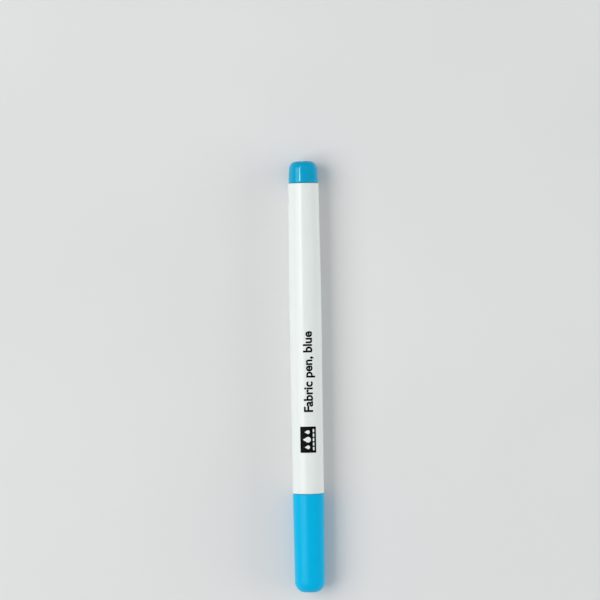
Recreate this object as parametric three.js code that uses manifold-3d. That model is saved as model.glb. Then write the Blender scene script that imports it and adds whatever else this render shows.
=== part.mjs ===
// A water-erasable fabric marking pen with its cap on, lying on its side.
//
// Units are millimetres. The pen lies along Y, its cap towards -Y and its tail towards +Y, and +Z is up.
// The origin is on the surface that the pen lies on, below the middle of its length.
// Apart from ribs, grooves and a flat, every piece is turned about the pen's axis, so each has a profile of
// (radius, station): a station is the distance along the axis from the cap's closed end.

import * as THREE from 'three';
import { mergeVertices } from 'three/addons/utils/BufferGeometryUtils.js';
import Module from 'manifold-3d';

// The whole pen
const LENGTH = 137;
const SEAM = 0.1; // between two pieces that meet face to face
const SLIP = 0.06; // round a piece that fits inside another
const EDGE = 0.2; // the bevel at a moulding's rim
const LEAD_IN = 0.3; // the bevel at the end of what is pushed into something else
const SINK = 0.3; // how far a rib's root goes into the wall that it stands on

// Barrel: a straight tube that draws in a little to each end
const BARREL_RADIUS = 5.12;
const REST_HEIGHT = 4.98; // of the axis above a narrow flat, which keeps the pen from rolling
const BARREL_FRONT_RADIUS = 4.94;
const BARREL_FRONT_TAPER = 22; // length over which it draws in
const BARREL_BACK_RADIUS = 4.87;
const BARREL_BACK_TAPER = 26;
const BARREL_BORE = 4.02;
const BARREL_RIBS = 6; // inside, standing off the reservoir
const BARREL_RIB_END = 4; // bare bore at each end of a rib
const RIB_WIDTH = 0.5;

// Cap: drawn in slightly towards its closed end, as a moulding is
const CAP_LENGTH = 31.3;
const CAP_MOUTH_RADIUS = 4.96;
const CAP_END_RADIUS = 4.73;
const CAP_CORNER = { across: 2.9, along: 3.4 };
const CAP_END_WALL = 1.3;
const CAP_FLOOR_EDGE = 1; // the bevel at the bottom of the deep bore
const CAP_BORE = 4.2;
const CAP_DEEP_BORE = 3.72;
const CAP_STEP = 20; // where the deep bore, which holds the liner, opens into the wide one
const CAP_STEP_SLOPE = 0.4;
const CAP_RIBS = 6; // inside the wide bore, gripping the neck
const CAP_RIB_TIP = 4.02;
const CAP_RIB_END = 1;

// Liner: the soft inner cup that closes over the nib
const LINER_RADIUS = CAP_DEEP_BORE - 0.1;
const LINER_BORE = 3.2;
const LINER_END_WALL = 0.6;
const LINER_MOUTH = 19.2;
const LINER_LIP = { across: 0.15, along: 0.5 };
const LINER_BASE = CAP_END_WALL + SEAM;

// Nib: a bonded fibre rod with a bullet point, its other end deep in the reservoir
const NIB_RADIUS = 1.15;
const NIB_TIP = 6.8;
const NIB_TAIL = 47;
const NIB_POINT = 0.5; // radius of the round tip
const NIB_BARE = 1.5; // length of straight rod in front of the holder

// Nib holder: the white cone that the nib comes out of
const HOLDER_FRONT = 11;
const HOLDER_FRONT_RADIUS = 1.5;
const HOLDER_BASE_RADIUS = 2.45;
const HOLDER_STEM_RADIUS = 2.2;
const HOLDER_RIM = 0.35; // length of the straight rim at the cone's base
const HOLDER_BACK = 30;
const FINE_EDGE = 0.1; // the bevel at the front of the holder and the section
const VENT_GROOVES = 3;
const VENT_WIDTH = 0.5;
const VENT_DEPTH = 0.4;

// Front section: the blue cone and neck that the cap goes over
const SECTION_FRONT = 15.6;
const SECTION_FRONT_RADIUS = 2.65;
const SECTION_BORE = HOLDER_STEM_RADIUS + SLIP;
const NECK_START = 23;
const NECK_RADIUS = 3.85;
const SNAP_STATION = 28.5;
const SNAP_HEIGHT = 0.12;
const SNAP_HALF_WIDTH = 0.6;
const COLLAR_RADIUS = 4.42;
const COLLAR_THICKNESS = 0.8;
const SECTION_BACK = 41;
const SPIGOT_FUNNEL = 0.6; // length of the slope between the section's narrow and wide bores
const SPIGOT_RADIUS = BARREL_BORE - SLIP;
const SPIGOT_BORE = 3.15;

// Reservoir: a fibre bundle in a film sleeve
const SLEEVE_RADIUS = 3.5;
const SLEEVE_THICKNESS = 0.12;
const RESERVOIR_RADIUS = SLEEVE_RADIUS - SLEEVE_THICKNESS - SLIP;
const RESERVOIR_FRONT = SECTION_BACK + SEAM;
const RESERVOIR_LENGTH = 80;

// Tail plug
const PLUG_HEAD = 7;
const PLUG_BASE_RADIUS = 4.74;
const PLUG_TOP_RADIUS = 4.5;
const PLUG_CORNER = { across: 2.1, along: 2.7 };
const PLUG_END_WALL = 1.3;
const PLUG_BORE = 3.05;
const PLUG_FILLET = 0.8;
const PLUG_SPOKES = 4;
const PLUG_SPOKE_WIDTH = 0.6;
const PLUG_SPOKE_START = 0.5; // in from the spigot's open end
const PLUG_RINGS = [3.5, 6]; // crush rings on the spigot, from its open end
const PLUG_RING_HEIGHT = 0.04;
const PLUG_RING_SLOPE = 0.4;

// Where the pieces meet
const BARREL_FRONT = CAP_LENGTH + SEAM;
const BARREL_BACK = LENGTH - PLUG_HEAD;
const RESERVOIR_BACK = RESERVOIR_FRONT + RESERVOIR_LENGTH;
const PLUG_FRONT = RESERVOIR_BACK + 2 * SEAM;

// Round things are drawn with this many flats, which stand at the true radius, as their corners don't.
const FLATS = 36;
const CORNER_STEPS = 2;
const ACROSS_FLATS = 1 / Math.cos(Math.PI / FLATS);

const wasm = await Module();
wasm.setup();

const plastic = (color, roughness) => new THREE.MeshStandardMaterial({ color, roughness, metalness: 0 });
const materials = {
  barrel: plastic(0xe9eeec, 0.3),
  tail_plug: plastic(0x059ecd, 0.25),
  front_section: plastic(0x0668b4, 0.28),
  nib_holder: plastic(0xf2f2ee, 0.35),
  nib: plastic(0x123f94, 0.9),
  ink_reservoir: plastic(0x2f86c8, 0.95),
  reservoir_sleeve: plastic(0xf4f8fa, 0.2),
  cap: plastic(0x03aee0, 0.22),
  cap_liner: plastic(0xd9eef4, 0.4),
};

/** A geometry turned from a profile about the pen's axis, with its faces pointing out. */
function turned(profile) {
  const points = profile.getPoints(CORNER_STEPS).map((p) => new THREE.Vector2(p.x * ACROSS_FLATS, p.y));
  if (THREE.ShapeUtils.area(points) < 0) points.reverse();
  return new THREE.LatheGeometry(points, FLATS, Math.PI / FLATS);
}

/** A geometry as a manifold-3d solid. */
function solidOf(geometry) {
  const bare = new THREE.BufferGeometry().setAttribute('position', geometry.getAttribute('position'));
  bare.setIndex(geometry.index);
  const merged = mergeVertices(bare, 1e-4);
  return new wasm.Manifold(new wasm.Mesh({
    numProp: 3,
    vertProperties: merged.getAttribute('position').array,
    triVerts: new Uint32Array(merged.index.array),
  }));
}

/** A manifold-3d solid as a geometry. */
function geometryOf(solid) {
  const mesh = solid.getMesh();
  const geometry = new THREE.BufferGeometry();
  geometry.setAttribute('position', new THREE.BufferAttribute(mesh.vertProperties, 3));
  geometry.setIndex(new THREE.BufferAttribute(mesh.triVerts, 1));
  geometry.computeVertexNormals();
  return geometry;
}

/** Bars along the axis, spaced evenly round it: each fills the given radii, stations and width. */
function barsRound(count, { inner, outer, from, to, width }) {
  const bars = [];
  for (let i = 0; i < count; i++) {
    const bar = new THREE.BoxGeometry(width, to - from, outer - inner);
    bar.translate(0, (from + to) / 2, (inner + outer) / 2);
    bar.rotateY((2 * Math.PI * i) / count);
    bars.push(solidOf(bar));
  }
  return bars;
}

/** What is cut off the barrel's underside, to leave the flat that the pen lies on. */
function undersideCut() {
  const depth = 2 * (BARREL_RADIUS - REST_HEIGHT);
  const cut = new THREE.BoxGeometry(2 * BARREL_RADIUS, LENGTH, depth);
  cut.translate(0, LENGTH / 2, -REST_HEIGHT - depth / 2);
  return solidOf(cut);
}

/** The closed tube of the pen's body, with ribs that keep the reservoir off its wall. */
function barrelGeometry() {
  const recess = COLLAR_RADIUS + SLIP;
  const frontTaper = BARREL_FRONT + BARREL_FRONT_TAPER;
  const backTaper = BARREL_BACK - BARREL_BACK_TAPER;
  const profile = new THREE.Path().moveTo(recess, BARREL_FRONT);
  profile.lineTo(BARREL_FRONT_RADIUS - EDGE, BARREL_FRONT);
  profile.lineTo(BARREL_FRONT_RADIUS, BARREL_FRONT + EDGE);
  profile.quadraticCurveTo(BARREL_RADIUS, frontTaper - BARREL_FRONT_TAPER / 2, BARREL_RADIUS, frontTaper);
  profile.lineTo(BARREL_RADIUS, backTaper);
  profile.quadraticCurveTo(
    BARREL_RADIUS, backTaper + BARREL_BACK_TAPER / 2,
    BARREL_BACK_RADIUS, BARREL_BACK - EDGE,
  );
  profile.lineTo(BARREL_BACK_RADIUS - EDGE, BARREL_BACK);
  profile.lineTo(BARREL_BORE, BARREL_BACK);
  profile.lineTo(BARREL_BORE, BARREL_FRONT + COLLAR_THICKNESS + SEAM);
  profile.lineTo(recess, BARREL_FRONT + COLLAR_THICKNESS + SEAM);
  profile.lineTo(recess, BARREL_FRONT);
  const ribs = barsRound(BARREL_RIBS, {
    inner: SLEEVE_RADIUS + 2 * SLIP,
    outer: BARREL_BORE + SINK,
    from: SECTION_BACK + BARREL_RIB_END,
    to: PLUG_FRONT - BARREL_RIB_END,
    width: RIB_WIDTH,
  });
  const round = ribs.reduce((tube, rib) => tube.add(rib), solidOf(turned(profile)));
  return geometryOf(round.subtract(undersideCut()));
}

/** The cap: round closed end, deep bore for the liner, and a wide mouth with gripping ribs. */
function capGeometry() {
  const { across, along } = CAP_CORNER;
  const profile = new THREE.Path().moveTo(0, 0).lineTo(CAP_END_RADIUS - across, 0);
  profile.absellipse(CAP_END_RADIUS - across, along, across, along, -Math.PI / 2, 0);
  profile.lineTo(CAP_MOUTH_RADIUS, CAP_LENGTH - EDGE);
  profile.lineTo(CAP_MOUTH_RADIUS - EDGE, CAP_LENGTH);
  profile.lineTo(CAP_BORE + EDGE, CAP_LENGTH);
  profile.lineTo(CAP_BORE, CAP_LENGTH - EDGE);
  profile.lineTo(CAP_BORE, CAP_STEP + CAP_STEP_SLOPE);
  profile.lineTo(CAP_DEEP_BORE, CAP_STEP);
  profile.lineTo(CAP_DEEP_BORE, CAP_END_WALL + CAP_FLOOR_EDGE);
  profile.lineTo(CAP_DEEP_BORE - CAP_FLOOR_EDGE, CAP_END_WALL);
  profile.lineTo(0, CAP_END_WALL);
  const ribs = barsRound(CAP_RIBS, {
    inner: CAP_RIB_TIP,
    outer: CAP_BORE + SINK,
    from: CAP_STEP + CAP_RIB_END,
    to: CAP_LENGTH - CAP_RIB_END,
    width: RIB_WIDTH,
  });
  return geometryOf(ribs.reduce((cap, rib) => cap.add(rib), solidOf(turned(profile))));
}

/** The liner: a thin cup whose lip meets the front section's cone. */
function capLinerGeometry() {
  const floor = LINER_BASE + LINER_END_WALL;
  const profile = new THREE.Path().moveTo(0, LINER_BASE).lineTo(LINER_RADIUS - CAP_FLOOR_EDGE, LINER_BASE);
  profile.lineTo(LINER_RADIUS, LINER_BASE + CAP_FLOOR_EDGE);
  profile.lineTo(LINER_RADIUS, LINER_MOUTH);
  profile.lineTo(LINER_BORE + LINER_LIP.across, LINER_MOUTH);
  profile.lineTo(LINER_BORE, LINER_MOUTH - LINER_LIP.along);
  profile.lineTo(LINER_BORE, floor);
  profile.lineTo(0, floor);
  return turned(profile);
}

/** The nib: a straight rod with a round bullet point. */
function nibGeometry() {
  const shoulder = HOLDER_FRONT - NIB_BARE;
  const profile = new THREE.Path().moveTo(0, NIB_TIP);
  profile.absarc(0, NIB_TIP + NIB_POINT, NIB_POINT, -Math.PI / 2, -Math.PI / 8);
  profile.quadraticCurveTo(NIB_RADIUS, (NIB_TIP + shoulder) / 2, NIB_RADIUS, shoulder);
  profile.lineTo(NIB_RADIUS, NIB_TAIL - LEAD_IN);
  profile.lineTo(NIB_RADIUS - LEAD_IN, NIB_TAIL);
  profile.lineTo(0, NIB_TAIL);
  return turned(profile);
}

/** The nib holder: a cone in front, a stem behind, and grooves that let air into the barrel. */
function nibHolderGeometry() {
  const bore = NIB_RADIUS + SLIP;
  const seat = SECTION_FRONT - SEAM;
  const profile = new THREE.Path().moveTo(bore, HOLDER_FRONT);
  profile.lineTo(HOLDER_FRONT_RADIUS - FINE_EDGE, HOLDER_FRONT);
  profile.lineTo(HOLDER_FRONT_RADIUS, HOLDER_FRONT + FINE_EDGE);
  profile.lineTo(HOLDER_BASE_RADIUS, seat - HOLDER_RIM);
  profile.lineTo(HOLDER_BASE_RADIUS, seat);
  profile.lineTo(HOLDER_STEM_RADIUS, seat);
  profile.lineTo(HOLDER_STEM_RADIUS, HOLDER_BACK - LEAD_IN);
  profile.lineTo(HOLDER_STEM_RADIUS - LEAD_IN, HOLDER_BACK);
  profile.lineTo(bore, HOLDER_BACK);
  profile.lineTo(bore, HOLDER_FRONT);
  const grooves = barsRound(VENT_GROOVES, {
    inner: HOLDER_STEM_RADIUS - VENT_DEPTH,
    outer: HOLDER_BASE_RADIUS + SINK,
    from: seat - 2 * HOLDER_RIM,
    to: HOLDER_BACK + SINK,
    width: VENT_WIDTH,
  });
  return geometryOf(grooves.reduce((holder, groove) => holder.subtract(groove), solidOf(turned(profile))));
}

/** The front section: cone, neck with a snap ring, collar let into the barrel, and a hollow spigot. */
function frontSectionGeometry() {
  const collarBack = BARREL_FRONT + COLLAR_THICKNESS;
  const profile = new THREE.Path().moveTo(SECTION_BORE, SECTION_FRONT);
  profile.lineTo(SECTION_FRONT_RADIUS - FINE_EDGE, SECTION_FRONT);
  profile.lineTo(SECTION_FRONT_RADIUS, SECTION_FRONT + FINE_EDGE);
  profile.lineTo(NECK_RADIUS, NECK_START);
  profile.lineTo(NECK_RADIUS, SNAP_STATION - SNAP_HALF_WIDTH);
  profile.lineTo(NECK_RADIUS + SNAP_HEIGHT, SNAP_STATION);
  profile.lineTo(NECK_RADIUS, SNAP_STATION + SNAP_HALF_WIDTH);
  profile.lineTo(NECK_RADIUS, BARREL_FRONT);
  profile.lineTo(COLLAR_RADIUS, BARREL_FRONT);
  profile.lineTo(COLLAR_RADIUS, collarBack);
  profile.lineTo(SPIGOT_RADIUS, collarBack);
  profile.lineTo(SPIGOT_RADIUS, SECTION_BACK - LEAD_IN);
  profile.lineTo(SPIGOT_RADIUS - LEAD_IN, SECTION_BACK);
  profile.lineTo(SPIGOT_BORE, SECTION_BACK);
  profile.lineTo(SPIGOT_BORE, HOLDER_BACK + SPIGOT_FUNNEL);
  profile.lineTo(SECTION_BORE, HOLDER_BACK);
  profile.lineTo(SECTION_BORE, SECTION_FRONT);
  return turned(profile);
}

/** The fibre bundle that holds the ink, with a socket that the nib's tail sits in. */
function inkReservoirGeometry() {
  const socket = NIB_RADIUS + SLIP;
  const front = RESERVOIR_FRONT + SEAM;
  const profile = new THREE.Path().moveTo(0, NIB_TAIL + SEAM).lineTo(socket, NIB_TAIL + SEAM);
  profile.lineTo(socket, front);
  profile.lineTo(RESERVOIR_RADIUS, front);
  profile.lineTo(RESERVOIR_RADIUS, RESERVOIR_BACK - SEAM);
  profile.lineTo(0, RESERVOIR_BACK - SEAM);
  return turned(profile);
}

/** The film that the reservoir's fibres are wrapped in. */
function reservoirSleeveGeometry() {
  const inner = SLEEVE_RADIUS - SLEEVE_THICKNESS;
  const profile = new THREE.Path().moveTo(inner, RESERVOIR_FRONT).lineTo(SLEEVE_RADIUS, RESERVOIR_FRONT);
  profile.lineTo(SLEEVE_RADIUS, RESERVOIR_BACK);
  profile.lineTo(inner, RESERVOIR_BACK);
  profile.lineTo(inner, RESERVOIR_FRONT);
  return turned(profile);
}

/** The tail plug: round head, spigot with crush rings, and a cross of ribs that stops the reservoir. */
function tailPlugGeometry() {
  const { across, along } = PLUG_CORNER;
  const ceiling = LENGTH - PLUG_END_WALL;
  const seat = BARREL_BACK + SEAM;
  const spigot = SPIGOT_RADIUS - PLUG_RING_HEIGHT;
  const profile = new THREE.Path().moveTo(0, ceiling).lineTo(PLUG_BORE - PLUG_FILLET, ceiling);
  profile.lineTo(PLUG_BORE, ceiling - PLUG_FILLET);
  profile.lineTo(PLUG_BORE, PLUG_FRONT);
  profile.lineTo(spigot - LEAD_IN, PLUG_FRONT);
  profile.lineTo(spigot, PLUG_FRONT + LEAD_IN);
  for (const ring of PLUG_RINGS) {
    profile.lineTo(spigot, PLUG_FRONT + ring - PLUG_RING_SLOPE);
    profile.lineTo(SPIGOT_RADIUS, PLUG_FRONT + ring);
    profile.lineTo(spigot, PLUG_FRONT + ring + PLUG_RING_SLOPE);
  }
  profile.lineTo(spigot, seat);
  profile.lineTo(PLUG_BASE_RADIUS - EDGE, seat);
  profile.lineTo(PLUG_BASE_RADIUS, seat + EDGE);
  profile.lineTo(PLUG_TOP_RADIUS, LENGTH - along);
  profile.absellipse(PLUG_TOP_RADIUS - across, LENGTH - along, across, along, 0, Math.PI / 2);
  profile.lineTo(0, LENGTH);
  const spokes = barsRound(PLUG_SPOKES, {
    inner: 0,
    outer: PLUG_BORE + SINK,
    from: PLUG_FRONT + PLUG_SPOKE_START,
    to: ceiling + SINK,
    width: PLUG_SPOKE_WIDTH,
  });
  return geometryOf(spokes.reduce((plug, spoke) => plug.add(spoke), solidOf(turned(profile))));
}

const geometries = {
  barrel: barrelGeometry(),
  tail_plug: tailPlugGeometry(),
  front_section: frontSectionGeometry(),
  nib_holder: nibHolderGeometry(),
  nib: nibGeometry(),
  ink_reservoir: inkReservoirGeometry(),
  reservoir_sleeve: reservoirSleeveGeometry(),
  cap: capGeometry(),
  cap_liner: capLinerGeometry(),
};

const pen = new THREE.Group();
for (const [name, geometry] of Object.entries(geometries)) {
  const mesh = new THREE.Mesh(geometry, materials[name]);
  mesh.name = name;
  pen.add(mesh);
}
pen.position.set(0, -LENGTH / 2, REST_HEIGHT);

export default pen;
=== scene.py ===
"""The looks of a fabric marking pen that lies with its cap on: fine pieces, finishes, light and camera.

The frame is in metres. The shapes below are worked out in millimetres: y runs along the pen from the cap to
the tail, and a radius is measured from the pen's axis. MM turns millimetres into metres.
"""

import math

import bmesh
import bpy
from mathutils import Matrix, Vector


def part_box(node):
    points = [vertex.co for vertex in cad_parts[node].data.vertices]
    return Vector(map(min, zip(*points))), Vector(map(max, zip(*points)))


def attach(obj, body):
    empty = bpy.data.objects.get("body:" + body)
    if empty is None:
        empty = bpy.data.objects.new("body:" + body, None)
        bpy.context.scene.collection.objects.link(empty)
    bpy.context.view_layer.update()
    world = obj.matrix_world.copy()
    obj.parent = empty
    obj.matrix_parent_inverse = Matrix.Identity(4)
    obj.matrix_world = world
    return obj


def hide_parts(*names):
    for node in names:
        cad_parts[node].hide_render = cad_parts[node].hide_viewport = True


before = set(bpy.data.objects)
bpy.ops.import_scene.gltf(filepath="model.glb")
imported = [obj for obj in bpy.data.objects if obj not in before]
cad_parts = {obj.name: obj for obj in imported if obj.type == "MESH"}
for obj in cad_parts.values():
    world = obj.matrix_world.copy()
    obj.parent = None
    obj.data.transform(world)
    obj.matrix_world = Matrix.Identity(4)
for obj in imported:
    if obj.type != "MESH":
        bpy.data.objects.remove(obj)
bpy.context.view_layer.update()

MM = 0.001
SEGMENTS = 192  # round the axis, for what is seen from outside
FINE = 144  # for the small pieces
CORNER_STEPS = 7  # in a rounded edge
SINK = 0.3  # how far a rib or spoke is sunk into the wall that it stands on
SEAM = 0.1  # the gap left between two pieces that meet end to end
END_WALL = 1.3  # of the cap and of the tail plug
NIB_SOCKET = 1.21  # the bore that the nib is pushed into
PRINT_HEIGHT = 0.014  # how far the ink stands above the barrel
PRINT_ROOT = 0.02  # how far its underside is sunk into the barrel
PRINT_CLEARANCE = 0.006  # how far its top stays inside the CAD barrel


def span(node):
    """Where a CAD node starts and ends along the pen."""
    low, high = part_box(node)
    return low.y / MM, high.y / MM


AXIS = (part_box("tail_plug")[0].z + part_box("tail_plug")[1].z) / 2 / MM


def reach(node):
    """A CAD node's largest radius, measured upwards, where a flat stands at the true radius."""
    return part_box(node)[1].z / MM - AXIS


# ---- outlines ------------------------------------------------------------------------------------


def rounded(corners):
    """An outline through corners of (radius, y, fillet), a smooth curve cutting each corner by its fillet."""
    points = []
    count = len(corners)
    for i, (r, y, fillet) in enumerate(corners):
        here = Vector((r, y))
        before = Vector(corners[i - 1][:2]) - here
        after = Vector(corners[(i + 1) % count][:2]) - here
        cut = min(fillet, 0.48 * before.length, 0.48 * after.length)
        if cut <= 0:
            points.append((r, y))
            continue
        start, end = here + before.normalized() * cut, here + after.normalized() * cut
        for k in range(CORNER_STEPS + 1):
            t = k / CORNER_STEPS
            p = start * (1 - t) ** 2 + here * 2 * t * (1 - t) + end * t**2
            points.append((p.x, p.y))
    return points


def elliptic_corner(radius, end, across, along, steps=28):
    """The quarter ellipse from the side of a round end, at radius, to its flat face, at y = end."""
    inward = -math.copysign(along, end)
    turns = [math.pi / 2 * k / steps for k in range(steps + 1)]
    return [
        (radius - across * (1 - math.cos(a)), end + inward * (1 - math.sin(a)))
        for a in turns
    ]


def eased(knots, steps=9):
    """Points through knots of (radius, y), level at each knot and smooth between them."""
    points = [knots[0]]
    for (r0, y0), (r1, y1) in zip(knots, knots[1:]):
        for k in range(1, steps + 1):
            t = k / steps
            points.append((r0 + (r1 - r0) * t * t * (3 - 2 * t), y0 + (y1 - y0) * t))
    return points


def dimple(face, inward, radius=0.55, depth=0.1):
    """The mark of a moulding gate in a flat face, from its centre out, and rings that hold its wear in."""
    floor = face + inward * depth
    rings = [(radius * k, face) for k in (1, 1.15, 1.3, 2)]
    return [(0, floor), (0.6 * radius, floor)] + rings


# ---- meshes --------------------------------------------------------------------------------------


def piece_from(name, vertices, faces, body, node, slot, material, sharp_deg=35):
    """A shown piece that rides on a body, and stands in for a CAD node if one is named."""
    mesh = bpy.data.meshes.new(name)
    mesh.from_pydata([Vector(v) * MM for v in vertices], [], faces)
    built = bmesh.new()
    built.from_mesh(mesh)
    bmesh.ops.recalc_face_normals(built, faces=built.faces)
    built.to_mesh(mesh)
    built.free()
    mesh.polygons.foreach_set("use_smooth", [True] * len(mesh.polygons))
    mesh.set_sharp_from_angle(angle=math.radians(sharp_deg))
    mesh.materials.append(material)
    piece = bpy.data.objects.new(name, mesh)
    bpy.context.scene.collection.objects.link(piece)
    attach(piece, body)
    if node:
        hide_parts(node)
    return piece


def turned(outline, segments, shaped=None):
    """Vertices and faces of an outline of (radius, y) turned about the axis.

    An outline that starts and ends on the axis is closed there, and any other is closed by its last step back
    to its start. shaped(angle, radius, y) may change a radius, for ribs and grooves. Nothing goes below the
    floor, so the lowest place is a narrow flat.
    """
    vertices, rings, faces = [], [], []
    for r, y in outline:
        if r < 1e-6:
            rings.append([len(vertices)])
            vertices.append((0, y, AXIS))
            continue
        rings.append(list(range(len(vertices), len(vertices) + segments)))
        for k in range(segments):
            a = 2 * math.pi * k / segments
            q = shaped(a, r, y) if shaped else r
            vertices.append((q * math.sin(a), y, max(AXIS + q * math.cos(a), 0)))
    pairs = list(zip(rings, rings[1:]))
    if len(rings[0]) > 1:
        pairs.append((rings[-1], rings[0]))
    for one, two in pairs:
        for k in range(segments):
            n = (k + 1) % segments
            if len(one) == 1 and len(two) > 1:
                faces.append((one[0], two[n], two[k]))
            elif len(two) == 1 and len(one) > 1:
                faces.append((one[k], one[n], two[0]))
            elif len(one) > 1:
                faces.append((one[k], one[n], two[n], two[k]))
    return vertices, faces


def bars_round(count, inner, outer, low, high, width):
    """Vertices and faces of bars along the axis, spaced evenly round it."""
    vertices, faces = [], []
    for i in range(count):
        a = 2 * math.pi * i / count
        first = len(vertices)
        for y in (low, high):
            for side, up in ((-1, inner), (1, inner), (1, outer), (-1, outer)):
                x = side * width / 2
                across = x * math.cos(a) + up * math.sin(a)
                above = up * math.cos(a) - x * math.sin(a)
                vertices.append((across, y, AXIS + above))
        for quad in ((0, 1, 2, 3), (7, 6, 5, 4), (0, 4, 5, 1), (1, 5, 6, 2), (2, 6, 7, 3), (3, 7, 4, 0)):
            faces.append(tuple(first + q for q in quad))
    return vertices, faces


def joined(*parts):
    """Several (vertices, faces) as one."""
    vertices, faces = [], []
    for more_vertices, more_faces in parts:
        first = len(vertices)
        vertices += more_vertices
        faces += [tuple(first + i for i in face) for face in more_faces]
    return vertices, faces


def near_spoke(angle, count, half_width, radius):
    """Is this angle within half_width of one of count spokes?"""
    step = 2 * math.pi / count
    off = (angle + step / 2) % step - step / 2
    return abs(off) * radius <= half_width


# ---- finishes ------------------------------------------------------------------------------------


def add(tree, kind, inputs=None, **settings):
    """Adds a shader node. An input given as a socket is linked, and any other is set."""
    made = tree.nodes.new("ShaderNode" + kind)
    for key, value in settings.items():
        setattr(made, key, value)
    for key, value in (inputs or {}).items():
        if isinstance(value, bpy.types.NodeSocket):
            tree.links.new(value, made.inputs[key])
        else:
            made.inputs[key].default_value = value
    return made


def new_material(name):
    """An empty node material, its shader, and the surface position in millimetres."""
    material = bpy.data.materials.new(name)
    material.use_nodes = True
    tree = material.node_tree
    shader = tree.nodes["Principled BSDF"]
    place = add(tree, "TexCoord").outputs["Object"]
    place = add(tree, "VectorMath", {0: place, "Scale": 1 / MM}, operation="SCALE").outputs[0]
    return material, tree, shader, place


def noise(tree, place, scale, detail=2.0, stretch=(1, 1, 1), roughness=0.5):
    """Noise with about scale waves to the millimetre, stretched along the pen if stretch says so."""
    moved = add(tree, "Mapping", {"Vector": place, "Scale": stretch}).outputs[0]
    return add(
        tree, "TexNoise", {"Vector": moved, "Scale": scale, "Detail": detail, "Roughness": roughness}
    ).outputs[0]


def remap(tree, value, source, target):
    """value, moved smoothly from the source range to the target range and held inside it."""
    ranges = {"From Min": source[0], "From Max": source[1], "To Min": target[0], "To Max": target[1]}
    made = add(tree, "MapRange", {"Value": value, **ranges}, interpolation_type="SMOOTHSTEP")
    return made.outputs[0]


def blend_colors(tree, amount, one, two):
    """The colour one, turning into two as amount goes from 0 to 1."""
    return add(tree, "Mix", {0: amount, 6: one, 7: two}, data_type="RGBA").outputs[2]


def calculated(tree, operation, one, two):
    """The sum or product of two values, as operation says."""
    return add(tree, "Math", {0: one, 1: two}, operation=operation).outputs[0]


def raised(tree, height, distance_mm, strength=1.0, below=None):
    """A surface normal bumped by height, over another bump if one is given."""
    inputs = {"Height": height, "Distance": distance_mm * MM, "Strength": strength}
    if below:
        inputs["Normal"] = below
    return add(tree, "Bump", inputs).outputs[0]


CLOUD_SHARE = 0.65  # of a moulding's colour drift, and its flow lines make up the rest
WORN_DULLING = 0.2  # how much rougher a fully rubbed edge is
GLOSS_DOWN, GLOSS_UP = 0.03, 0.04  # how far handling moves a moulding's roughness either way
SCATTER_DEPTH = 1.2  # millimetres that light goes into plastic that it enters
PLASTIC_IOR = 1.49


def moulded(
    name,
    color,
    shade,
    rub,
    roughness,
    shine=0.5,
    gleam=(1, 1, 1),
    peel=0.002,
    depth=0.0,
    depth_tint=(1, 1, 1),
):
    """Moulded plastic.

    Its colour drifts towards shade in soft clouds and faint flow lines, and is rubbed towards rub along its
    edges. Its gloss varies with handling and fine scuffs along the pen. shine is how strongly it mirrors,
    gleam is the tint of what it mirrors, peel is the height in millimetres of the slight waviness of a
    moulding, and depth is how much light enters the plastic.
    """
    material, tree, shader, place = new_material(name)
    clouds = noise(tree, place, 0.16, 3)
    flow = noise(tree, place, 0.9, 2, stretch=(1, 0.06, 1))
    cloud_share = calculated(tree, "MULTIPLY", clouds, CLOUD_SHARE)
    flow_share = calculated(tree, "MULTIPLY", flow, 1 - CLOUD_SHARE)
    drift = calculated(tree, "ADD", cloud_share, flow_share)
    surface = blend_colors(tree, remap(tree, drift, (0.35, 0.68), (0, 1)), (*color, 1), (*shade, 1))

    edge = add(tree, "NewGeometry").outputs["Pointiness"]
    patches = remap(tree, noise(tree, place, 1.4, 4), (0.4, 0.62), (0.25, 1))
    wear = calculated(tree, "MULTIPLY", remap(tree, edge, (0.52, 0.6), (0, 0.8)), patches)
    surface = blend_colors(tree, wear, surface, (*rub, 1))

    scuffs = remap(tree, noise(tree, place, 7, 3, stretch=(1, 0.03, 1)), (0.55, 0.75), (0, 0.03))
    gloss_range = (roughness - GLOSS_DOWN, roughness + GLOSS_UP)
    handling = remap(tree, noise(tree, place, 0.1, 1), (0.3, 0.7), gloss_range)
    worn = calculated(tree, "MULTIPLY", wear, WORN_DULLING)
    gloss = calculated(tree, "ADD", calculated(tree, "ADD", handling, scuffs), worn)

    waves = raised(tree, noise(tree, place, 0.55, 1), peel)
    grain = raised(tree, noise(tree, place, 14, 3), 0.0002, below=waves)
    hairlines = raised(tree, scuffs, 0.002, below=grain)

    tree.links.new(surface, shader.inputs["Base Color"])
    tree.links.new(gloss, shader.inputs["Roughness"])
    tree.links.new(hairlines, shader.inputs["Normal"])
    shader.inputs["IOR"].default_value = PLASTIC_IOR
    shader.inputs["Specular IOR Level"].default_value = shine
    shader.inputs["Specular Tint"].default_value = (*gleam, 1)
    shader.inputs["Subsurface Weight"].default_value = depth
    shader.inputs["Subsurface Radius"].default_value = depth_tint
    shader.inputs["Subsurface Scale"].default_value = SCATTER_DEPTH * MM
    return material


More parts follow.
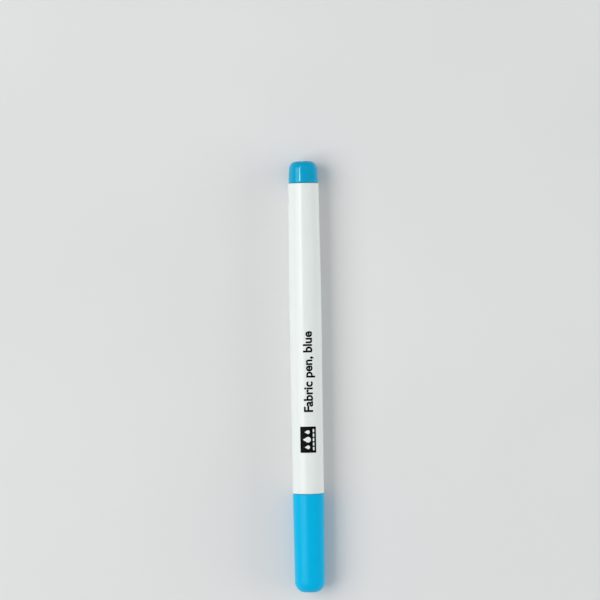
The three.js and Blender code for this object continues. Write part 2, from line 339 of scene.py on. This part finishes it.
def fibrous(name, color, shade, pale):
    """Bonded fibre: fine strands along the pen, matt, darker where more ink has soaked in."""
    material, tree, shader, place = new_material(name)
    strands = noise(tree, place, 9, 4, stretch=(1, 0.05, 1), roughness=0.65)
    soaked = noise(tree, place, 0.5, 3)
    surface = blend_colors(tree, remap(tree, soaked, (0.35, 0.65), (0, 1)), (*color, 1), (*shade, 1))
    surface = blend_colors(tree, remap(tree, strands, (0.52, 0.75), (0, 0.6)), surface, (*pale, 1))
    pores = noise(tree, place, 16, 2)
    along = raised(tree, strands, 0.05)
    rough = raised(tree, pores, 0.012, below=along)
    tree.links.new(surface, shader.inputs["Base Color"])
    tree.links.new(remap(tree, pores, (0.3, 0.7), (0.82, 0.98)), shader.inputs["Roughness"])
    tree.links.new(rough, shader.inputs["Normal"])
    shader.inputs["Sheen Weight"].default_value = 0.15
    return material


def see_through(name, color, shade, roughness, clearness, alpha=1.0):
    """A milky or clear plastic that light passes through, with faint cloudiness and drawn lines."""
    material, tree, shader, place = new_material(name)
    clouds = noise(tree, place, 0.4, 3)
    drawn = noise(tree, place, 5, 2, stretch=(1, 0.04, 1))
    surface = blend_colors(tree, remap(tree, clouds, (0.35, 0.65), (0, 1)), (*color, 1), (*shade, 1))
    gloss = remap(tree, drawn, (0.35, 0.65), (roughness - 0.06, roughness + 0.08))
    tree.links.new(surface, shader.inputs["Base Color"])
    tree.links.new(gloss, shader.inputs["Roughness"])
    tree.links.new(raised(tree, drawn, 0.003), shader.inputs["Normal"])
    shader.inputs["Transmission Weight"].default_value = clearness
    shader.inputs["Alpha"].default_value = alpha
    return material


def printed(name, color, thin):
    """Printing ink: even and satin, with a faint mottle where it lies thinner, and a barely wavy surface."""
    material, tree, shader, place = new_material(name)
    mottle = noise(tree, place, 3.5, 4)
    surface = blend_colors(tree, remap(tree, mottle, (0.5, 0.75), (0, 1)), (*color, 1), (*thin, 1))
    tree.links.new(surface, shader.inputs["Base Color"])
    tree.links.new(remap(tree, mottle, (0.3, 0.7), (0.42, 0.56)), shader.inputs["Roughness"])
    tree.links.new(raised(tree, noise(tree, place, 11, 3), 0.0015), shader.inputs["Normal"])
    shader.inputs["Specular IOR Level"].default_value = 0.03
    return material


def matt_ground(name, color, shade):
    """The pale surface that the pen lies on."""
    material, tree, shader, place = new_material(name)
    clouds = noise(tree, place, 0.01, 3)
    surface = blend_colors(tree, remap(tree, clouds, (0.3, 0.7), (0, 1)), (*color, 1), (*shade, 1))
    dullness = remap(tree, noise(tree, place, 1.1, 3), (0.3, 0.7), (0.72, 0.84))
    tree.links.new(surface, shader.inputs["Base Color"])
    tree.links.new(dullness, shader.inputs["Roughness"])
    tree.links.new(raised(tree, noise(tree, place, 2.2, 4), 0.02), shader.inputs["Normal"])
    return material


WHITE = moulded(
    "barrel_plastic", (0.815, 0.855, 0.83), (0.8, 0.845, 0.82), (0.93, 0.94, 0.93), 0.31,
    shine=0.36, peel=0.001, depth=0.12, depth_tint=(1, 1, 0.95),
)
CAP_CYAN = moulded(
    "cap_plastic", (0.0, 0.47, 0.8), (0.0, 0.455, 0.775), (0.03, 0.6, 0.88), 0.31,
    shine=0.2, gleam=(0.4, 0.9, 1), depth=0.05, depth_tint=(0.2, 0.8, 1),
)
PLUG_CYAN = moulded(
    "plug_plastic", (0.0, 0.36, 0.61), (0.0, 0.345, 0.585), (0.03, 0.55, 0.78), 0.1,
    shine=0.35, gleam=(0.5, 0.95, 1), depth=0.05, depth_tint=(0.2, 0.8, 1),
)
SECTION_BLUE = moulded(
    "section_plastic", (0.003, 0.138, 0.456), (0.002, 0.12, 0.41), (0.05, 0.25, 0.6), 0.31,
)
HOLDER_WHITE = moulded(
    "holder_plastic", (0.86, 0.86, 0.82), (0.8, 0.81, 0.78), (0.93, 0.93, 0.9), 0.36, depth=0.1,
)
NIB_FIBRE = fibrous("nib_fibre", (0.006, 0.05, 0.296), (0.004, 0.03, 0.2), (0.03, 0.12, 0.45))
RESERVOIR_FIBRE = fibrous("reservoir_fibre", (0.028, 0.238, 0.578), (0.015, 0.16, 0.48), (0.35, 0.55, 0.75))
SLEEVE_FILM = see_through("sleeve_film", (0.92, 0.96, 0.98), (0.85, 0.92, 0.96), 0.16, 0.6, alpha=0.45)
LINER_MILKY = see_through("liner_milky", (0.72, 0.86, 0.9), (0.64, 0.8, 0.86), 0.38, 0.35)
PRINT_BLACK = printed("print_ink", (0.003, 0.003, 0.004), (0.007, 0.007, 0.008))
GROUND = matt_ground("ground_matt", (0.76, 0.76, 0.76), (0.74, 0.74, 0.74))


# ---- the barrel ----------------------------------------------------------------------------------

BARREL_FRONT, BARREL_BACK = span("barrel")
BARREL_FRONT_RADIUS = 4.93
BARREL_BACK_RADIUS = 4.87
BARREL_RADIUS = reach("barrel") - PRINT_HEIGHT - PRINT_CLEARANCE
BARREL_BORE = 4.02
BARREL_WAIST = {"radius": 4.99, "y": -20}  # where it starts to swell, behind the cap
BARREL_SWELL = 24  # y of its fattest place
BARREL_EDGE = 0.22
COLLAR_RECESS = 4.48
COLLAR_THICKNESS = 0.8
RESERVOIR_RIB = {"count": 6, "tip": 3.62, "width": 0.5, "from": 13.6, "to": 12.7}  # from either end


def barrel_knots():
    """Where the barrel's outside changes between drawing in and swelling."""
    return [
        (BARREL_FRONT_RADIUS, BARREL_FRONT + BARREL_EDGE),
        (BARREL_WAIST["radius"], BARREL_WAIST["y"]),
        (BARREL_RADIUS, BARREL_SWELL),
        (BARREL_BACK_RADIUS, BARREL_BACK - BARREL_EDGE),
    ]


def barrel_radius(y):
    """The radius of the barrel's outside at y."""
    knots = barrel_knots()
    for (r0, y0), (r1, y1) in zip(knots, knots[1:]):
        if y <= y1:
            t = max((y - y0) / (y1 - y0), 0)
            return r0 + (r1 - r0) * t * t * (3 - 2 * t)
    return BARREL_BACK_RADIUS


def quarter_round(radius, y, edge, towards):
    """The rounded edge from a face at y to a side at radius, which lies at larger y if towards is +1."""
    turns = [math.pi / 2 * k / CORNER_STEPS for k in range(CORNER_STEPS + 1)]
    return [(radius - edge * (1 - math.sin(a)), y + towards * edge * (1 - math.cos(a))) for a in turns]


def barrel_outline():
    """The barrel's profile: its outside from front to back, then its bore."""
    outer = quarter_round(BARREL_FRONT_RADIUS, BARREL_FRONT, BARREL_EDGE, 1)
    outer += eased(barrel_knots(), steps=16)[1:-1]
    outer += quarter_round(BARREL_BACK_RADIUS, BARREL_BACK, BARREL_EDGE, -1)[::-1]
    step = BARREL_FRONT + COLLAR_THICKNESS + SEAM
    inner = rounded([(BARREL_BORE, BARREL_BACK, 0.15), (BARREL_BORE, step, 0), (COLLAR_RECESS, step, 0)])
    return outer + inner + [(COLLAR_RECESS, BARREL_FRONT)]


def make_barrel():
    low, high = BARREL_FRONT + RESERVOIR_RIB["from"], BARREL_BACK - RESERVOIR_RIB["to"]
    root = BARREL_BORE + SINK
    ribs = bars_round(RESERVOIR_RIB["count"], RESERVOIR_RIB["tip"], root, low, high, RESERVOIR_RIB["width"])
    shape = joined(turned(barrel_outline(), SEGMENTS), ribs)
    piece_from("barrel_tube", *shape, "pen", "barrel", "barrel_white", WHITE)


# ---- the tail plug -------------------------------------------------------------------------------

PLUG_SPIGOT, PLUG_END = span("tail_plug")
PLUG_SEAT = BARREL_BACK + SEAM
PLUG_BASE_RADIUS = reach("tail_plug")
PLUG_TOP_RADIUS = 4.5
PLUG_CORNER = {"across": 2.1, "along": 2.7}
PLUG_BORE = 3.05
PLUG_SPIGOT_RADIUS = 3.92
CRUSH_RING = {"height": 0.04, "half": 0.4, "at": (3.5, 6)}
PLUG_CROSS = {"arms": 4, "thickness": 0.6, "from": 0.5}


def make_tail_plug():
    corner = elliptic_corner(PLUG_TOP_RADIUS, PLUG_END, **PLUG_CORNER)
    ceiling = PLUG_END - END_WALL
    base = rounded([
        (PLUG_SPIGOT_RADIUS, PLUG_SEAT, 0),
        (PLUG_BASE_RADIUS, PLUG_SEAT, 0.42),
        (corner[0][0], corner[0][1] - 0.01, 0),
    ])
    rings = []
    for at in CRUSH_RING["at"][::-1]:
        y = PLUG_SPIGOT + at
        rings += [
            (PLUG_SPIGOT_RADIUS, y + CRUSH_RING["half"]),
            (PLUG_SPIGOT_RADIUS + CRUSH_RING["height"], y),
            (PLUG_SPIGOT_RADIUS, y - CRUSH_RING["half"]),
        ]
    tip = rounded([
        (PLUG_SPIGOT_RADIUS, PLUG_SPIGOT + 1.5, 0),
        (PLUG_SPIGOT_RADIUS, PLUG_SPIGOT, 0.4),
        (PLUG_BORE, PLUG_SPIGOT, 0.1),
        (PLUG_BORE, ceiling, 0.8),
        (0, ceiling, 0),
    ])
    outline = dimple(PLUG_END, -1) + corner[::-1] + base[::-1] + rings + tip
    low, high = PLUG_SPIGOT + PLUG_CROSS["from"], ceiling + SINK
    cross = bars_round(PLUG_CROSS["arms"], 0, PLUG_BORE + SINK, low, high, PLUG_CROSS["thickness"])
    shape = joined(turned(outline, SEGMENTS), cross)
    piece_from("tail_plug_moulding", *shape, "pen", "tail_plug", "plug_cyan", PLUG_CYAN)


# ---- the cap and its liner -----------------------------------------------------------------------

CAP_END, CAP_MOUTH = span("cap")
CAP_MOUTH_RADIUS = reach("cap")
CAP_END_RADIUS = 4.73
CAP_CORNER = {"across": 2.9, "along": 3.4}
CAP_BORE = 4.2
CAP_DEEP_BORE = 3.72
CAP_STEP = CAP_END + 20
GRIP = {"count": 6, "tip": 4.02, "half_width": 0.25, "from": CAP_END + 21, "to": CAP_MOUTH - 1}


def grip_ribs(angle, radius, y):
    """The cap's bore, with the ribs that grip the neck standing in from it."""
    on_bore = abs(radius - CAP_BORE) < 0.01 and GRIP["from"] <= y <= GRIP["to"]
    if on_bore and near_spoke(angle, GRIP["count"], GRIP["half_width"], CAP_BORE):
        return GRIP["tip"]
    return radius


def make_cap():
    corner = elliptic_corner(CAP_END_RADIUS, CAP_END, **CAP_CORNER)
    mouth = rounded([
        (corner[0][0], corner[0][1] + 0.01, 0),
        (CAP_MOUTH_RADIUS, CAP_MOUTH, 0.25),
        (CAP_BORE, CAP_MOUTH, 0.3),
        (CAP_BORE, GRIP["to"] + 0.12, 0),
        (CAP_BORE, GRIP["to"], 0),
        (CAP_BORE, GRIP["from"], 0),
        (CAP_BORE, GRIP["from"] - 0.3, 0),
        (CAP_BORE, CAP_STEP + 0.4, 0.1),
        (CAP_DEEP_BORE, CAP_STEP, 0.1),
        (CAP_DEEP_BORE, CAP_END + END_WALL, 1.2),
        (0, CAP_END + END_WALL, 0),
    ])
    outline = dimple(CAP_END, 1) + corner[::-1] + mouth
    shape = turned(outline, SEGMENTS, grip_ribs)
    piece_from("cap_moulding", *shape, "cap", "cap", "cap_cyan", CAP_CYAN)


LINER = {"bore": 3.2, "flare": 0.15, "flare_depth": 0.5, "end_wall": 0.6}


def make_cap_liner():
    base, mouth = span("cap_liner")
    outer, bore, floor = reach("cap_liner"), LINER["bore"], base + LINER["end_wall"]
    outline = rounded([
        (0, base, 0),
        (outer, base, 1),
        (outer, mouth, 0.1),
        (bore + LINER["flare"], mouth, 0.1),
        (bore, mouth - LINER["flare_depth"], 0.3),
        (bore, floor, 0.4),
        (0, floor, 0),
    ])
    piece_from("cap_liner_cup", *turned(outline, FINE), "cap", "cap_liner", "liner_clear", LINER_MILKY)


# ---- the writing end -----------------------------------------------------------------------------

SECTION_FRONT, SECTION_BACK = span("front_section")
NECK_RADIUS = 3.85
SNAP_RING = {"y": SECTION_FRONT + 12.9, "height": 0.12, "half": 0.6, "steps": 6, "beside": 0.3}
CONE = {"tip_radius": 2.65, "length": 7.4, "bore": 2.26}
SPIGOT_RADIUS = 3.96
SPIGOT_BORE = {"radius": 3.15, "depth": 10.4, "taper": 0.6}


def snap_ring():
    """The outline of the low bead that the cap clicks over."""
    points = []
    for k in range(-SNAP_RING["steps"], SNAP_RING["steps"] + 1):
        t = k / SNAP_RING["steps"]
        rise = SNAP_RING["height"] * math.cos(math.pi / 2 * t) ** 2
        points.append((NECK_RADIUS + rise, SNAP_RING["y"] + SNAP_RING["half"] * t))
    return points


def make_front_section():
    bore, collar, collar_back = CONE["bore"], reach("front_section"), BARREL_FRONT + COLLAR_THICKNESS
    inside = SPIGOT_BORE["radius"]
    step = SECTION_BACK - SPIGOT_BORE["depth"]
    ring = snap_ring()
    front = rounded([
        (bore, SECTION_FRONT, 0.08),
        (CONE["tip_radius"], SECTION_FRONT, 0.15),
        (NECK_RADIUS, SECTION_FRONT + CONE["length"], 0.9),
        (NECK_RADIUS, ring[0][1] - SNAP_RING["beside"], 0),
    ])
    back = rounded([
        (NECK_RADIUS, ring[-1][1] + SNAP_RING["beside"], 0),
        (NECK_RADIUS, BARREL_FRONT, 0.1),
        (collar, BARREL_FRONT, 0.08),
        (collar, collar_back, 0.05),
        (SPIGOT_RADIUS, collar_back, 0),
        (SPIGOT_RADIUS, SECTION_BACK, 0.3),
        (inside, SECTION_BACK, 0.1),
        (inside, step, 0.2),
        (bore, step - SPIGOT_BORE["taper"], 0.2),
        (bore, SECTION_FRONT + 0.4, 0),
    ])
    shape = turned(front + ring + back, FINE)
    piece_from("front_section_moulding", *shape, "pen", "front_section", "section_blue", SECTION_BLUE)


HOLDER_FRONT, HOLDER_BACK = span("nib_holder")
HOLDER_SEAT = SECTION_FRONT - SEAM
HOLDER = {"tip": 1.5, "rim": 2.45, "rim_length": 0.35, "stem": 2.2}  # radii, and how long the rim is
VENT = {
    "count": 3,
    "half_width": 0.25,
    "floor": 1.8,
    "from": HOLDER_SEAT - 0.7,
    "lead_in": 0.1,
    "cone": (2.357, 2.379),  # the holder's radius just before the vents and where they start
}


def vent_grooves(angle, radius, y):
    """The holder's outside, with the grooves that let air into the barrel cut into it."""
    in_reach = radius > VENT["floor"] and y >= VENT["from"]
    if in_reach and near_spoke(angle, VENT["count"], VENT["half_width"], radius):
        return VENT["floor"]
    return radius


def make_nib_holder():
    rim, stem = HOLDER["rim"], HOLDER["stem"]
    outline = rounded([
        (NIB_SOCKET, HOLDER_FRONT, 0.06),
        (HOLDER["tip"], HOLDER_FRONT, 0.12),
        (VENT["cone"][0], VENT["from"] - VENT["lead_in"], 0),
        (VENT["cone"][1], VENT["from"], 0),
        (rim, HOLDER_SEAT - HOLDER["rim_length"], 0.1),
        (rim, HOLDER_SEAT, 0.08),
        (stem, HOLDER_SEAT, 0.03),
        (stem, HOLDER_BACK, 0.3),
        (NIB_SOCKET, HOLDER_BACK, 0.1),
    ])
    shape = turned(outline, FINE, vent_grooves)
    piece_from("nib_holder_moulding", *shape, "pen", "nib_holder", "holder_white", HOLDER_WHITE)


NIB = {"point": 0.5, "shoulder": 1.5, "turn_deg": 67.5, "point_steps": 10, "flare_steps": 14}


def make_nib():
    """A rod whose end narrows in a smooth flare to a small round point."""
    tip, tail = span("nib")
    radius, point = reach("nib"), NIB["point"]
    shoulder = HOLDER_FRONT - NIB["shoulder"]
    steps = NIB["point_steps"]
    turns = [math.radians(NIB["turn_deg"]) * k / steps for k in range(steps + 1)]
    end = [(point * math.sin(a), tip + point * (1 - math.cos(a))) for a in turns]
    r0, y0 = end[-1]
    middle = (y0 + shoulder) / 2
    flare = []
    for k in range(1, NIB["flare_steps"] + 1):
        t = k / NIB["flare_steps"]
        flare.append((
            (1 - t) ** 2 * r0 + 2 * t * (1 - t) * radius + t * t * radius,
            (1 - t) ** 2 * y0 + 2 * t * (1 - t) * middle + t * t * shoulder,
        ))
    outline = end + flare + rounded([(radius, shoulder + 0.5, 0), (radius, tail, 0.3), (0, tail, 0)])
    piece_from("nib_rod", *turned(outline, FINE), "pen", "nib", "nib_fibre", NIB_FIBRE)


SLEEVE_THICKNESS = 0.12


def make_reservoir():
    front, back = span("ink_reservoir")
    outer, floor = reach("ink_reservoir"), span("nib")[1] + SEAM
    outline = rounded([
        (0, floor, 0),
        (NIB_SOCKET, floor, 0),
        (NIB_SOCKET, front, 0.05),
        (outer, front, 0.1),
        (outer, back, 0.1),
        (0, back, 0),
    ])
    shape = turned(outline, FINE)
    piece_from("ink_reservoir_bundle", *shape, "pen", "ink_reservoir", "reservoir_fibre", RESERVOIR_FIBRE)


def make_reservoir_sleeve():
    front, back = span("reservoir_sleeve")
    outer = reach("reservoir_sleeve")
    inner = outer - SLEEVE_THICKNESS
    shape = turned([(inner, front), (outer, front), (outer, back), (inner, back)], FINE)
    piece_from("reservoir_sleeve_film", *shape, "pen", "reservoir_sleeve", "sleeve_film", SLEEVE_FILM)


# ---- the print on the barrel ---------------------------------------------------------------------

LETTERING = "Fabric pen, blue"  # says what the thing is, and names no product
LETTERING_START = 26.0  # along the barrel, from its front edge
LETTERING_LENGTH = 25.6
LETTERING_HEIGHT = 2.85  # of its tallest letter
LETTERING_BASE = -1.84  # where its line stands, round the barrel from the top, to the left if positive
LETTERING_WEIGHT = 0.03
TILE = {"start": 13.1, "length": 8.3, "low": -2.82, "high": 2.38, "corner": 0.15}
DROPS = {"radii": (0.6, 0.9, 0.6), "first": 1.75, "step": 2.4, "up": 2.65, "tall": 2.9}  # tall in radii
STITCHES = {"count": 5, "first": 0.75, "step": 1.42, "length": 1.12, "low": 0.6, "high": 1.15, "corner": 0.25}
DROP_STEPS = 32
TILE_CORNER_STEPS = 6
WRAP_STEP = 0.15  # the strips that flat shapes are cut into, so that they bend round the barrel


def flat_mesh(curve):
    """A filled flat curve or text as a mesh, which is removed from the scene."""
    carrier = bpy.data.objects.new("flat_shape", curve)
    bpy.context.scene.collection.objects.link(carrier)
    bpy.context.view_layer.update()
    mesh = bpy.data.meshes.new_from_object(carrier.evaluated_get(bpy.context.evaluated_depsgraph_get()))
    bpy.data.objects.remove(carrier)
    bpy.data.curves.remove(curve)
    return mesh


def wrapped_piece(name, mesh):
    """A flat mesh (x along the pen, y round it, millimetres) laid on the barrel as a thin skin of ink."""
    skin = bmesh.new()
    skin.from_mesh(mesh)
    bmesh.ops.remove_doubles(skin, verts=skin.verts, dist=1e-4)
    low = min(v.co.y for v in skin.verts)
    high = max(v.co.y for v in skin.verts)
    cut = low + WRAP_STEP
    while cut < high:
        everything = skin.verts[:] + skin.edges[:] + skin.faces[:]
        bmesh.ops.bisect_plane(skin, geom=everything, plane_co=(0, cut, 0), plane_no=(0, 1, 0))
        cut += WRAP_STEP
    for v in skin.verts:
        v.co.z = -PRINT_ROOT
    top = bmesh.ops.extrude_face_region(skin, geom=skin.faces[:])["geom"]
    for item in top:
        if isinstance(item, bmesh.types.BMVert):
            item.co.z = PRINT_HEIGHT
    vertices = []
    for v in skin.verts:
        r = barrel_radius(v.co.x)
        a = v.co.y / r
        vertices.append((-(r + v.co.z) * math.sin(a), v.co.x, AXIS + (r + v.co.z) * math.cos(a)))
    skin.verts.index_update()
    faces = [tuple(v.index for v in f.verts) for f in skin.faces]
    skin.free()
    return piece_from(name, vertices, faces, "pen", None, "print_black", PRINT_BLACK, sharp_deg=50)


def make_lettering():
    """The line of lettering, fitted to its length and to the height of its tallest letter."""
    text = bpy.data.curves.new("lettering", "FONT")
    text.body = LETTERING
    text.offset = LETTERING_WEIGHT
    text.resolution_u = 6
    mesh = flat_mesh(text)
    start = min(v.co.x for v in mesh.vertices)
    along = LETTERING_LENGTH / (max(v.co.x for v in mesh.vertices) - start)
    up = LETTERING_HEIGHT / max(v.co.y for v in mesh.vertices)
    for v in mesh.vertices:
        v.co.x = BARREL_FRONT + LETTERING_START + (v.co.x - start) * along
        v.co.y = LETTERING_BASE + v.co.y * up
    wrapped_piece("print_lettering", mesh)


def add_loop(curve, points):
    """A closed outline in a flat curve: one inside another is a hole."""
    spline = curve.splines.new("POLY")
    spline.points.add(len(points) - 1)
    for p, (x, y) in zip(spline.points, points):
        p.co = (x, y, 0, 1)
    spline.use_cyclic_u = True


def rounded_box(x0, x1, y0, y1, corner):
    """The outline of a flat box with rounded corners."""
    centres = (
        (x1 - corner, y1 - corner),
        (x0 + corner, y1 - corner),
        (x0 + corner, y0 + corner),
        (x1 - corner, y0 + corner),
    )
    points = []
    for quarter, (cx, cy) in enumerate(centres):
        for k in range(TILE_CORNER_STEPS + 1):
            a = math.pi / 2 * (quarter + k / TILE_CORNER_STEPS)
            points.append((cx + corner * math.cos(a), cy + corner * math.sin(a)))
    return points


def droplet(x, y, radius, height):
    """A drop with its round end down: its sides run straight from the round to its point."""
    lean = math.asin(radius / (height - radius))
    points = [(x, y + height - radius)]
    for k in range(DROP_STEPS + 1):
        a = math.pi - lean + (math.pi + 2 * lean) * k / DROP_STEPS
        points.append((x + radius * math.cos(a), y + radius * math.sin(a)))
    return points


def make_mark():
    """A plain sign: drops of water over a line of stitches, left blank in a black tile."""
    curve = bpy.data.curves.new("mark", "CURVE")
    curve.dimensions = "2D"
    curve.fill_mode = "FRONT"
    x0 = BARREL_FRONT + TILE["start"]
    x1 = x0 + TILE["length"]
    y0, y1 = TILE["low"], TILE["high"]
    add_loop(curve, rounded_box(x0, x1, y0, y1, TILE["corner"]))
    for i, radius in enumerate(DROPS["radii"]):
        x = x0 + DROPS["first"] + DROPS["step"] * i
        add_loop(curve, droplet(x, y0 + DROPS["up"], radius, DROPS["tall"] * radius))
    for i in range(STITCHES["count"]):
        start = x0 + STITCHES["first"] + STITCHES["step"] * i
        low, high = y0 + STITCHES["low"], y0 + STITCHES["high"]
        add_loop(curve, rounded_box(start, start + STITCHES["length"], low, high, STITCHES["corner"]))
    wrapped_piece("print_mark", flat_mesh(curve))


# ---- ground, lights and camera -------------------------------------------------------------------

GROUND_HALF = 1.5  # metres
SKY = {"color": (0.95, 0.98, 1, 1), "strength": 0.45}


def make_ground():
    corners = [(x * GROUND_HALF, y * GROUND_HALF, 0) for x, y in ((-1, -1), (1, -1), (1, 1), (-1, 1))]
    mesh = bpy.data.meshes.new("ground")
    mesh.from_pydata(corners, [], [(0, 1, 2, 3)])
    mesh.materials.append(GROUND)
    ground = bpy.data.objects.new("ground", mesh)
    bpy.context.scene.collection.objects.link(ground)


def area_light(name, lean_deg, distance, across, along, watts, y=0.0, color=(1, 1, 1)):
    """A soft light over the pen, its size and place in metres.

    It leans to the viewer's left by lean_deg, or to the right if that is negative.
    """
    light = bpy.data.lights.new(name, "AREA")
    light.shape = "RECTANGLE"
    light.size, light.size_y = across, along
    light.energy = watts
    light.color = color
    lamp = bpy.data.objects.new(name, light)
    bpy.context.scene.collection.objects.link(lamp)
    a = math.radians(lean_deg)
    lamp.location = (-distance * math.sin(a), y, distance * math.cos(a))
    lamp.rotation_euler = (0, -a, 0)
    return lamp


def make_lights():
    area_light("key", 44, 1.8, 1.2, 1.6, 22, color=(1, 0.995, 0.98))
    strip = area_light("strip", 26.5, 0.9, 0.06, 0.9, 5.8, y=0.42)
    strip.visible_diffuse = False  # it only leaves the crisp streak on what is glossy
    fill = area_light("fill", -74, 1.6, 0.9, 1.4, 10.6)
    fill.visible_glossy = False  # it lights the right side and leaves no streak there
    world = bpy.data.worlds.new("studio")
    world.use_nodes = True
    sky = world.node_tree.nodes["Background"]
    sky.inputs["Color"].default_value = SKY["color"]
    sky.inputs["Strength"].default_value = SKY["strength"]
    bpy.context.scene.world = world
    bpy.context.scene.view_settings.view_transform = "Standard"


LENS = 200  # long, because the pen's round edges are seen nearly square on from end to end
SENSOR = 36
FRAME_WIDTH = 190.9  # what the view takes in at the height of the pen's axis
PEN_LEAN_DEG = 0.96  # its tail lies to the left of its cap
PEN_RIGHT = 2.07  # how far its middle is to the right of the view's centre
PEN_BELOW = 24.4  # and how far below it


def make_camera():
    """A camera straight above, turned and moved aside to match the pen's lean and its place in the view."""
    camera = bpy.data.objects.new("camera", bpy.data.cameras.new("camera"))
    bpy.context.scene.collection.objects.link(camera)
    camera.data.lens = LENS
    camera.data.sensor_width = SENSOR
    camera.data.clip_start = 0.01
    lean = math.radians(PEN_LEAN_DEG)
    right = Vector((math.cos(lean), -math.sin(lean), 0))
    up = Vector((math.sin(lean), math.cos(lean), 0))
    height = AXIS + FRAME_WIDTH * LENS / SENSOR
    camera.location = (up * PEN_BELOW - right * PEN_RIGHT + Vector((0, 0, height))) * MM
    camera.rotation_euler = (0, 0, -lean)
    bpy.context.scene.camera = camera


make_barrel()
make_tail_plug()
make_cap()
make_cap_liner()
make_front_section()
make_nib_holder()
make_nib()
make_reservoir()
make_reservoir_sleeve()
make_lettering()
make_mark()
make_ground()
make_lights()
make_camera()
